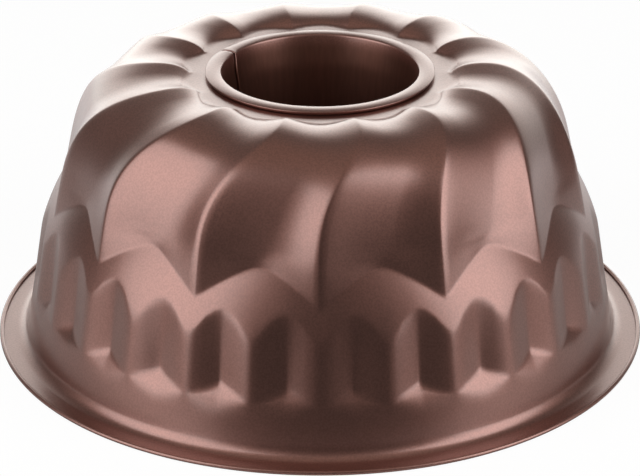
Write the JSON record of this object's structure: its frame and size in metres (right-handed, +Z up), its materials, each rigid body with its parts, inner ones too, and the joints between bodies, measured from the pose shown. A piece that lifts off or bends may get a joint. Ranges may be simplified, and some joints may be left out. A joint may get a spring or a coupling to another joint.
{
  "type": "fluted tube pan",
  "caption": "Round fluted cake pan of coated sheet steel with swirled flutes, a niche band, a rolled rim and a tapered tube crimped into its centre; shown rim down.",
  "frame": {"origin": "on the pan's axis, in the plane of the rim that the upturned pan rests on", "axes": "+Z up along the axis to the closed end; -Y to the front, where one flute ridge stands"},
  "size_m": [0.25, 0.25, 0.1064],
  "materials": {
    "coating": "satin metallic non-stick coating, copper brown, with a fine sparkle",
    "tube_coating": "the same coating on the rolled tube, with a finely brushed grain round the bore"
  },
  "bodies": {
    "root": {"fluted_shell": "coating", "centre_tube": "tube_coating"}
  },
  "joints": []
}
